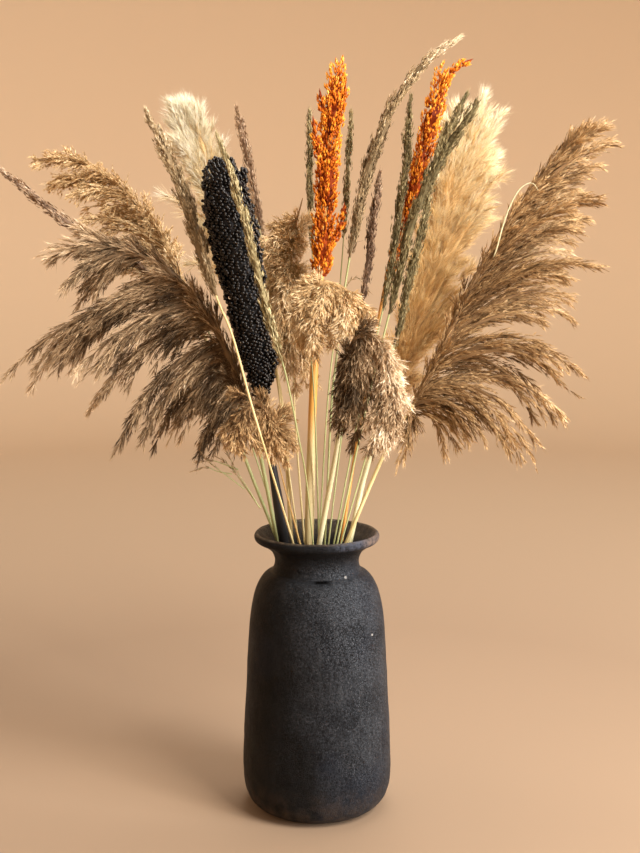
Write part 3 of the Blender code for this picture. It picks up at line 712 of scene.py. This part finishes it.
def orange(node, clusters, top_light):
    """Seed heads built from short side branches that each carry a lump of grains, paler near top_light.

    A cluster is its path in millimetres, its table of radii, its branches and the grains on each."""
    grains = Blades()
    for path, table, count, per in clusters:
        line = Line(mm(path))
        share = np.clip(even_shares(table, count, 300) - 0.016 / line.length, 0, 1)
        at, head = line.at(share)
        width = widths_at(table, share)
        turn = np.arange(count) * GOLDEN_ANGLE + rng.normal(0, 0.25, count)
        long = some(count, 0.014, 0.024) * np.clip(width / 0.012, 0.5, 1.1)
        long = np.minimum(long, (1 - share) * line.length + 0.006)
        side = lean(head, np.full(count, math.pi / 2), turn)
        start = at + side * (width * 0.3)[:, None]
        toward = unit(head * long[:, None] + side * (width * some(count, 0.36, 0.64))[:, None])
        lump = rng.normal(0, 0.07, count)

        pick = np.repeat(np.arange(count), per)
        t = some(len(pick), 0, 1)
        around = lean(toward[pick], np.full(len(pick), math.pi / 2), some(len(pick), 0, 2 * math.pi))
        far = 0.0034 * np.sin(math.pi * (0.12 + 0.8 * t)) * some(len(pick), 0.4, 1.0) ** 0.5
        spots = start[pick] + toward[pick] * (t * long[pick])[:, None] + around * far[:, None]
        heading = toward[pick] + around * some(len(pick), -0.05, 0.28)[:, None]
        heading = unit(heading + rng.normal(0, 0.08, (len(pick), 3)))
        bright = 0.22 * np.clip((spots[:, 2] - top_light + 0.16) / 0.16, 0, 1)
        outer_side_light = np.sum(side[pick] * around, 1)
        # painted shade and light: grains near the axis and inside each lump darker, those at a lump's tip and
        # outer side lighter
        tint = 0.35 + bright + lump[pick] + 0.34 * (t - 0.5) + 0.14 * outer_side_light + rng.normal(0, 0.1, len(pick))
        grains.grains(spots - heading * 0.0015, heading, 0.006 * some(len(pick), 0.7, 1.2),
                      0.0024 * some(len(pick), 0.8, 1.2), tint)
        begin, _ = line.at(np.array([0.0, 0.33, 0.66]))
        end, _ = line.at(np.array([0.36, 0.69, 1.0]))
        middle, _ = line.at(np.array([0.17, 0.5, 0.82]))
        # dark bodies inside the head: painted shade between the lumps
        for k in range(3):
            inner = float(widths_at(table, np.array([0.17 + 0.33 * k]))[0]) * (0.48 + 0.06 * k)
            cores(grains, begin[k:k + 1], middle[k:k + 1], end[k:k + 1], inner, 0.12, 8, 8)
    grains.piece(node + "_grains", orange_look, "dyed_orange", [node])


yellow = stem_material("stem_yellow", (0.66, 0.53, 0.24), (0.8, 0.69, 0.4), (0.56, 0.4, 0.16),
                       upper=((0.84, 0.4, 0.08), 0.462, 0.52))
stem_piece("sorghum_orange_tall_stem",
           rooted((-10, -5), [(-5, -5, 531), (4, -5, 686), (15, -5, 852), (22, -8, 915)]),
           [0.006] * 8 + [0.0052] * 4 + [0.004, 0.003, 0.002, 0.001], yellow, "dyed_orange",
           "sorghum_orange_tall", 70, 12)
orange("sorghum_orange_tall", [
    ([(5, -5, 686), (8, -5, 731), (11, -5, 779), (15, -5, 840),
      (21, -6, 899), (27, -8, 945)],
     [(0.0, 0.0165), (0.12, 0.0185), (0.3, 0.0185), (0.6, 0.018), (0.82, 0.0155), (0.95, 0.012), (1.0, 0.006)],
     170, 20),
    ([(6, -10, 815), (-2, -12, 857), (-5, -12, 884)],
     [(0.0, 0.004), (0.5, 0.006), (1.0, 0.002)], 14, 20),
    ([(13, -9, 870), (6, -11, 896), (3, -11, 915)],
     [(0.0, 0.003), (0.5, 0.005), (1.0, 0.002)], 9, 18),
    ([(14, -6, 720), (28, -6, 745), (35, -6, 780)],
     [(0.0, 0.004), (0.5, 0.006), (1.0, 0.002)], 14, 20),
    ([(27, -8, 870), (33, -8, 900), (35, -8, 935)],
     [(0.0, 0.003), (0.5, 0.005), (1.0, 0.003)], 10, 18)], 0.948)
stem_piece("sorghum_orange_bent_stem",
           rooted((31, -3), [(50, 20, 464), (90, 33, 690), (116, 35, 788), (138, 30, 886)]),
           [0.0022] * 10 + [0.001], orange_stem, "dyed_orange", "sorghum_orange_bent")
orange("sorghum_orange_bent", [
    ([(90, 33, 680), (103, 35, 725), (118, 35, 775), (132, 34, 831),
      (145, 32, 886), (156, 30, 925), (166, 30, 940)],
     [(0.0, 0.004), (0.15, 0.01), (0.4, 0.0152), (0.7, 0.0172), (0.92, 0.014), (1.0, 0.008)], 125, 19),
    ([(156, 30, 922), (170, 30, 940), (187, 30, 950), (197, 30, 955)],
     [(0.0, 0.006), (0.5, 0.0055), (1.0, 0.003)], 12, 16)], 0.945)


# meadow grasses
green_look = fibre_material("grass_green_scales", [(0.0, (0.05, 0.036, 0.014)), (0.4, (0.16, 0.122, 0.053)),
    (0.75, (0.33, 0.26, 0.125)), (1.0, (0.62, 0.52, 0.29))], specular=0.15)
mauve_look = fibre_material("grass_mauve_scales", [(0.0, (0.06, 0.036, 0.022)),
    (0.4, (0.225, 0.142, 0.092)), (0.75, (0.5, 0.345, 0.225)), (1.0, (0.84, 0.67, 0.48))], specular=0.15)
olive_look = fibre_material("grass_olive_scales", [(0.0, (0.085, 0.055, 0.024)), (0.4, (0.25, 0.17, 0.086)),
    (0.75, (0.47, 0.34, 0.185)), (1.0, (0.88, 0.74, 0.52))], specular=0.15)


def grass(node, slot, look, stem_look, mouth, start, radius, thick, routes, count=1800, top_tint=0.1, base=0.42,
          full=1.0):
    """A stem and, from the share start of its length, a spike of side tufts that lie close to it."""
    blades = Blades()
    stem_piece(node + "_stem", rooted(mouth, routes[0]), [radius] * 6 + [radius * 0.6, 0.0004], stem_look,
               slot, node, 70, 6)
    for n, route in enumerate(routes):
        line = Line(rooted(mouth, route))
        begin = start if n == 0 else 1 - (1 - start) * 0.45
        size = (1 - begin) * line.length
        tufts = int(size / 0.0045)
        s = (np.arange(tufts) + some(tufts, 0, 0.8)) / tufts
        swell = np.interp(s, [0, 0.1, 0.35, 0.7, 0.88, 1.0], [0.4, 0.75, 1.0, 0.85, 0.42, 0.03])
        swell = thick * full * swell
        at, head = line.at(begin + (1 - begin) * s)
        turn = some(tufts, 0, 2 * math.pi)
        side = lean(head, np.full(tufts, math.pi / 2), turn)
        long = np.minimum(np.interp(s, [0, 0.5, 1], [0.034, 0.032, 0.018]) * some(tufts, 0.7, 1.15),
                          (1 - s) * size + 0.004)
        ahead, _ = line.at(np.minimum(begin + (1 - begin) * s + long / line.length, 1.0))
        begin_at = at + side * (swell * 0.25)[:, None]
        reach = ahead + side * (swell * some(tufts, 0.75, 1.05))[:, None] - begin_at
        bend = begin_at + reach * 0.45 + side * (swell * 0.18)[:, None]
        tone = rng.normal(0, 0.06, tufts)

        # a dark body inside the spike: painted shade of its dense inside
        inside = thick * full * 0.62 * np.array([0.3, 0.62, 0.85, 1.0, 1.0, 0.95, 0.85, 0.65, 0.45, 0.25, 0.05])
        core_line(blades, line, inside, base - 0.16, 40, 6, begin, 0.995)

        pick = rng.integers(0, tufts, count if n == 0 else count // 3)
        t = some(len(pick), 0, 1)
        spots, toward = along_branch(begin_at[pick], bend[pick], begin_at[pick] + reach[pick], t)
        slim = np.interp(s[pick], [0.8, 1.0], [1.0, 0.35])
        around = rng.normal(0, 0.0015, spots.shape) * slim[:, None]
        toward = lean(toward, np.abs(rng.normal(0.1, 0.1, len(pick))), some(len(pick), 0, 2 * math.pi))
        room = np.clip((1 - s[pick]) * size + 0.002, 0.003, 1)
        scale = np.interp(s[pick], [0, 0.6, 1], [0.008, 0.0075, 0.0052]) * some(len(pick), 0.6, 1.2)
        scale = np.minimum(scale, room)
        tint = base + 0.05 + tone[pick] + top_tint * (1.2 * s[pick] ** 3 - 0.1) + 0.16 * (t - 0.5)
        tint += rng.normal(0, 0.14, len(pick))
        blades.husks(spots + around, toward, scale, 0.0019 * slim * some(len(pick), 0.7, 1.2), tint, side[pick])
        few = len(pick) // 2
        awn = lean(toward[:few], np.abs(rng.normal(0, 0.28, few)) * slim[:few], some(few, 0, 2 * math.pi))
        blades.hairs(spots[:few], awn, np.minimum(0.011 * some(few, 0.5, 1.2), room[:few]),
                     np.full(few, 0.0007), np.zeros(few), tint[:few] + 0.1, side[pick[:few]])
    blades.piece(node + "_head", look, slot, [node])


GRASSES = [
    ("grass_far_left", "grass_mauve", mauve_look, green, (-44, 8), 0.76, 0.0011, 0.0066,
     [[(-85, 0, 480), (-133, -5, 613), (-207, -8, 691), (-298, -10, 745), (-388, -10, 816)]],
     dict(base=0.54, top_tint=0.2)),
    ("grass_left", "grass_olive", olive_look, straw, (-27, -34), 0.73, 0.0015, 0.0072,
     [[(-62, -130, 494), (-76, -135, 544), (-97, -130, 621), (-117, -110, 666), (-151, -60, 759),
      (-184, -20, 838), (-210, 0, 886)]],
     dict(count=3200, base=0.5, top_tint=0.2, full=1.55)),
    ("grass_over_black", "grass_green", green_look, green, (-4, -40), 0.69, 0.0011, 0.0046,
     [[(-12, -85, 440), (-21, -112, 498), (-36, -135, 578), (-51, -140, 627), (-75, -136, 728),
      (-98, -132, 807), (-112, -128, 845)]],
     dict(base=0.72, count=1500)),
    ("grass_behind_black", "grass_mauve", mauve_look, straw, (-24, 16), 0.8, 0.0013, 0.0066,
     [[(-42, 48, 473), (-59, 70, 615), (-72, 84, 739), (-87, 88, 822), (-103, 88, 901)]],
     dict(base=0.66, count=1500)),
    ("grass_mid_left", "grass_green", green_look, green, (-6, 12), 0.8, 0.0011, 0.0036,
     [[(-3, 62, 551), (-5, 90, 680), (-9, 90, 784), (-10, 85, 896)]],
     dict(count=1200, base=0.5)),
    ("grass_mid_right", "grass_green", green_look, green, (3, 6), 0.82, 0.0011, 0.0024,
     [[(14, 22, 529), (28, 36, 656), (37, 36, 781), (43, 34, 889)]],
     dict(count=900, base=0.6)),
    ("grass_tall_arch", "grass_olive", olive_look, green, (10, -17), 0.7, 0.0014, 0.0085,
     [[(18, -20, 523), (24, -15, 581), (35, -10, 674), (56, -10, 791), (75, -10, 851), (101, -10, 905),
      (131, -10, 944), (172, -10, 972)]],
     dict(count=3000, top_tint=0.6, base=0.37)),
    ("grass_right", "grass_green", green_look, green, (21, -12), 0.71, 0.0011, 0.0056,
     [[(57, 0, 531), (85, 0, 657), (105, 0, 780), (115, 0, 904)]],
     dict(base=0.4)),
    ("grass_short_dark", "grass_mauve", mauve_look, green, (14, -24), 0.79, 0.0011, 0.0054,
     [[(37, -5, 531), (55, 0, 638), (70, 0, 755), (78, 0, 811)]],
     dict(base=0.32, count=1300)),
    ("grass_right_front", "grass_green", green_look, green, (24, -32), 0.7, 0.0013, 0.0078,
     [[(63, -35, 535), (90, -30, 645), (113, -30, 742), (149, -30, 838), (179, -30, 903)], [(63, -35, 535),
      (90, -30, 645), (113, -30, 742), (155, -30, 835), (192, -30, 894)]],
     dict(count=2400, base=0.38)),
    ("grass_right_low", "grass_green", green_look, green, (29, -20), 0.72, 0.0011, 0.006,
     [[(75, -2, 505), (102, 0, 619), (114, 0, 674), (128, 0, 737), (148, 0, 828)]],
     dict(base=0.4, count=1500)),
]
for *given, more in GRASSES:
    grass(*given, **more)


def sprig(name, node, slot, look, stem_look, points, radius, tip_share=0.55, count=26):
    """A thin stray stem with a few scales near its tip."""
    points = mm(points)
    stem_piece(name + "_stem", points, [radius, radius * 0.8, radius * 0.5, 0.0002], stem_look,
               slot, node, 24, 5)
    blades = Blades()
    at, head = Line(points).at(some(count, tip_share, 1.0))
    head = lean(head, np.abs(rng.normal(0.3, 0.15, count)), some(count, 0, 2 * math.pi))
    blades.husks(at, head, some(count, 0.005, 0.009), some(count, 0.001, 0.0018), some(count, 0.25, 0.6))
    blades.hairs(at, head, some(count, 0.006, 0.012), some(count, 0.0005, 0.0009), np.zeros(count),
                 some(count, 0.3, 0.7))
    blades.piece(name + "_scales", look, slot, [node])


SPRIGS = [
    [(-70, -50, 402), (-89, -55, 431), (-106, -60, 456), (-124, -64, 470)],
    [(-71, -50, 403), (-82, -55, 423), (-99, -60, 452), (-112, -66, 480)],
    [(-89, -55, 427), (-108, -60, 443), (-125, -65, 457), (-140, -70, 474)],
    [(-104, -58, 446), (-121, -62, 450), (-134, -66, 456), (-150, -70, 452)],
    [(-96, -60, 452), (-113, -63, 459), (-127, -66, 464), (-145, -70, 463)]]
for n, points in enumerate(SPRIGS):
    sprig(f"reed_left_low_sprig_{n}", "reed_left_low", "reed_grey", grey_look, green, points, 0.0009)
sprig("grass_mid_right_sprig_0", "grass_mid_right", "grass_green", gold_look, pale,
      [(20, 20, 600), (31, 16, 636), (40, 12, 662), (56, 10, 650)], 0.0006, 0.6, 20)
sprig("grass_mid_right_sprig_1", "grass_mid_right", "grass_green", gold_look, pale,
      [(24, 22, 610), (36, 18, 668), (50, 14, 684), (64, 10, 668)], 0.0006, 0.6, 20)
stem_piece("grass_behind_black_sheath",
           mm([(-54, 62, 610), (-57, 60, 647), (-63, 60, 687), (-70, 60, 725), (-77, 60, 760)]),
           [0.0012, 0.0026, 0.003, 0.0026, 0.0004], pale, "grass_mauve", "grass_behind_black", 40, 8)


# vase, whose outlines are radius and height in tenths of a millimetre
INSIDE = [(300, 120), (600, 120), (840, 320), (885, 700), (815, 2050), (700, 2880), (490, 3090),
    (475, 3190), (540, 3395), (675, 3518), (745, 3598)]
OUTSIDE = [(770, 3621), (795, 3598), (802, 3553), (774, 3508), (685, 3464), (592, 3390), (550, 3312),
    (539, 3250), (545, 3190), (562, 3145), (572, 3118), (600, 3105), (650, 3085), (710, 3025), (760, 2940),
    (800, 2830), (832, 2700), (862, 2500), (895, 2050), (930, 1370), (955, 900), (967, 580), (957, 370),
    (927, 220), (868, 110), (775, 40), (680, 10), (620, 0), (300, 0)]
SLOT_X, SLOT_Z, SLOT_DEPTH = 0.006, 0.3094, 0.004  # a dent under the neck, in front


def tenths(pairs):
    return [(r / 10000, z / 10000) for r, z in pairs]


def turned_faces(rings, turns):
    """Triangles of a turned body, which face outwards where its outline goes down on the outside."""
    return [(a, c, b) for a, b, c in tube_faces(rings, turns)]


def vase(turns=132):
    """Turned body with a slightly uneven hand-made surface, closed at its two centre points."""
    flat = spline_through([(r, 0.0, z) for r, z in tenths(OUTSIDE)], 5)[:, [0, 2]]
    outline = np.maximum(np.vstack([np.array(tenths(INSIDE)), flat]), 0.0)
    angle = np.arange(turns) * 2 * math.pi / turns
    spots = []
    for i, (r, z) in enumerate(outline):
        for a in angle:
            x, y = math.cos(a), math.sin(a)
            wave = 0.0
            if i > len(INSIDE) - 3 and z > 0.0004:
                way = Vector((x * r, y * r, z))
                wave = 0.0007 * noise.noise(way * 22.0) + 0.0004 * noise.noise(way * 75.0)
                if y < 0:
                    across, up = (x * r - SLOT_X) / 0.01, (z - SLOT_Z) / 0.0016
                    wave -= SLOT_DEPTH * math.exp(-across ** 4 - up ** 2)
            spots.append(((r + wave) * x, (r + wave) * y, z))
    faces = turned_faces(len(outline), turns)
    last = (len(outline) - 1) * turns
    spots += [(0.0, 0.0, 0.012), (0.0, 0.0, 0.0)]
    for j in range(turns):
        k = (j + 1) % turns
        faces += [(len(spots) - 2, j, k), (len(spots) - 1, last + k, last + j)]
    return np.array(spots), np.array(faces)


def vase_material():
    """Charcoal ceramic: mottled, crackled and streaked, with painted light on one side and a painted bluish
    sheen, worn, dusty and with a painted highlight at the lip, and brown low down.
    """
    look = Look("vase_ceramic", 0.5)
    noise_of, levels, blend, span, both = look.noise, look.levels, look.blend, look.span, look.both
    where = look.place()
    x, y, z = look.axes(where)

    def on_lip(low, high):
        """A stretch of the lip's outer edge, with a broken border, for wear or a painted highlight."""
        band = both(span(y, 0.02, -0.015), both(span(z, 0.35, 0.3545), span(x, low, high)))
        return both(levels(noise_of(where, 160.0, 4.0, 0.7), (0.4, 0.12), (0.58, 0.85)), band)

    mottle = noise_of(where, 340.0, 4.0, 0.65)
    patches = noise_of(where, 14.0, 3.0)
    streaks = noise_of(look.stretched(where, (1.0, 1.0, 0.16)), 130.0, 3.0, 0.6)
    warp = noise_of(where, 90.0, 2.0)
    warped = look.vector_maths("MULTIPLY_ADD", "Vector", warp, (0.004, 0.004, 0.004), where)
    cracks = levels(look.cells(warped, 430.0, "DISTANCE_TO_EDGE"), (0.0, 1.0), (0.13, 0.0))
    cracked = levels(patches, (0.4, 0.0), (0.58, 1.0))
    pit = levels(look.cells(where, 560.0), (0.1, 1.0), (0.34, 0.0))

    # painted light: the right front side is lighter, as if lit from there, with a soft and patchy edge
    facing = look.vector_maths("DOT_PRODUCT", "Value", where, (9.0, -2.2, 2.0))
    painted_lit_side = span(look.maths("ADD", facing, patches), 0.7, 1.7)
    cloud = levels(noise_of(where, 24.0, 4.0, 0.6), (0.36, 0.0), (0.64, 1.0))
    dark = blend(cloud, (0.005, 0.0042, 0.0036), (0.01, 0.0092, 0.009))
    painted_lit_colour = blend(cloud, (0.03, 0.0325, 0.0375), (0.058, 0.062, 0.07))
    # the pale flecks are lighter on the painted lit side too
    fine = blend(painted_lit_side, (0.022, 0.021, 0.02), (0.113, 0.118, 0.127))
    colour = blend(painted_lit_side, dark, painted_lit_colour)

    # mottling, streaks, pits, cracks, and bluish clouds painted in as a bluish sheen
    colour = blend(levels(mottle, (0.34, 0.8), (0.5, 0.0)), colour, (0.003, 0.0026, 0.0024))
    colour = blend(levels(mottle, (0.55, 0.0), (0.68, 0.75)), colour, fine)
    colour = blend(levels(streaks, (0.54, 0.0), (0.78, 0.4)), colour, fine)
    colour = blend(both(cracked, pit), colour, (0.0022, 0.0019, 0.0018))
    colour = blend(both(cracked, cracks), colour, (0.003, 0.0027, 0.0025))
    # painted sheen: bluish clouds stand in for a bluish sheen on the glaze
    bluish_sheen_clouds = levels(noise_of(where, 9.0, 2.0), (0.5, 0.0), (0.68, 0.55))
    colour = blend(bluish_sheen_clouds, colour, (0.012, 0.015, 0.024))

    # earth low down, painted shade in the neck, dust on what faces up at the top, and on the lip a painted
    # bluish highlight and wear
    dirt = both(levels(noise_of(where, 60.0, 4.0, 0.7), (0.4, 0.0), (0.62, 0.8)), span(z, 0.055, 0.0))
    colour = blend(dirt, colour, (0.075, 0.052, 0.038))
    colour = blend(span(z, 0.318, 0.338, 0.0, 0.75), colour, (0.006, 0.0056, 0.0058))
    upward = span(look.axes(look.node("NewGeometry", "Normal", {}))[2], 0.35, 0.9)
    dust = both(levels(noise_of(where, 110.0, 5.0, 0.75), (0.4, 0.3), (0.62, 1.0)),
                both(upward, span(z, 0.335, 0.35)))
    colour = blend(dust, colour, (0.125, 0.092, 0.06))
    # painted highlight: a bluish stretch on the front of the lip
    colour = blend(on_lip(0.012, 0.048), colour, (0.085, 0.092, 0.12))
    colour = blend(on_lip(0.054, 0.066), colour, (0.2, 0.14, 0.105))

    # pale specks, painted shade in the slot under the neck, and the chip beside it
    colour = blend(levels(look.cells(where, 24.0), (0.03, 1.0), (0.045, 0.0)), colour, (0.42, 0.4, 0.36))
    slot = both(span(z, 0.308, 0.309), span(z, 0.3118, 0.3106))
    for edge in (span(x, -0.007, 0.0), span(x, 0.02, 0.012), span(y, 0.0, -0.01)):
        slot = both(edge, slot)
    # painted shade: the slot's recess is made near black
    colour = blend(slot, colour, (0.0015, 0.0012, 0.0012))
    chip = look.vector_maths("DISTANCE", "Value", where, (0.0362, -0.0442, 0.3125))
    colour = blend(span(chip, 0.0026, 0.0012, 0.0, 0.7), colour, (0.42, 0.4, 0.37))

    relief = look.maths("SUBTRACT", look.maths("ADD", mottle, streaks), cracks)
    return look.surface(Base_Color=colour, Roughness=span(noise_of(where, 45.0, 4.0), 0.0, 1.0, 0.32, 0.52),
                        Normal=look.bump(relief, 0.9, 0.0008), Specular_IOR_Level=0.08)


place_piece("vase_body", make_mesh("vase_body", *vase(), True), vase_material(), "charcoal_ceramic", ["vase"])


# floor, light and camera
def studio():
    """A plain pale floor that curves up far away."""
    turns = 64
    bends = [k / 8 * math.pi / 2 for k in range(1, 9)]
    profile = [(3.2, -0.0004), *((3.2 + 1.2 * math.sin(a), 1.2 - 1.2 * math.cos(a)) for a in bends), (4.4, 4.0)]
    spots = []
    for r, z in profile:
        for j in range(turns):
            a = 2 * math.pi * j / turns
            spots.append((r * math.cos(a), r * math.sin(a), z))
    spots.append((0.0, 0.0, -0.0004))
    faces = turned_faces(len(profile), turns)
    faces += [(len(spots) - 1, j, (j + 1) % turns) for j in range(turns)]
    floor = bpy.data.objects.new("floor", make_mesh("floor", np.array(spots), np.array(faces), True))
    bpy.context.scene.collection.objects.link(floor)
    look = Look("floor_plain", 0.85)
    far = look.span(look.vector_maths("LENGTH", "Value", look.place()), 0.8, 4.4)
    colour = look.ramp(far, [(0.0, (0.33, 0.22, 0.136)), (1.0, (0.79, 0.585, 0.385))])
    floor.data.materials.append(look.surface(Base_Color=colour))


def light(name, place, target, size, power, colour):
    data = bpy.data.lights.new(name, "AREA")
    data.shape = "RECTANGLE"
    data.size, data.size_y = size
    data.energy = power
    data.color = colour
    lamp = bpy.data.objects.new(name, data)
    lamp.location = place
    lamp.rotation_euler = (Vector(target) - Vector(place)).to_track_quat("-Z", "Y").to_euler()
    bpy.context.scene.collection.objects.link(lamp)


studio()
light("key", (1.5, -1.5, 2.4), (0.0, 0.0, 0.55), (1.1, 1.1), 100.0, (1.0, 0.965, 0.92))
light("fill", (-2.2, -1.8, 1.4), (0.0, 0.0, 0.5), (1.8, 1.8), 6.0, (1.0, 0.93, 0.84))
light("top", (0.3, 0.6, 2.9), (0.0, 0.0, 0.6), (1.6, 1.6), 58.0, (1.0, 0.98, 0.95))
light("side", (2.0, -1.15, 0.75), (0.0, 0.0, 0.3), (1.0, 1.4), 84.0, (0.9, 0.95, 1.0))
world = bpy.data.worlds.new("studio")
bpy.context.scene.world = world
world.use_nodes = True
world.node_tree.nodes["Background"].inputs["Color"].default_value = (1.0, 0.93, 0.84, 1.0)
world.node_tree.nodes["Background"].inputs["Strength"].default_value = 0.34

data = bpy.data.cameras.new("camera")
data.lens = 52.12
data.sensor_width = 36.0
camera = bpy.data.objects.new("camera", data)
camera.location = (0.004, -1.55, 0.704)
camera.rotation_euler = (math.radians(90 - 7.6), 0.0, 0.0)
bpy.context.scene.collection.objects.link(camera)
bpy.context.scene.camera = camera
bpy.context.scene.view_settings.view_transform = "Standard"
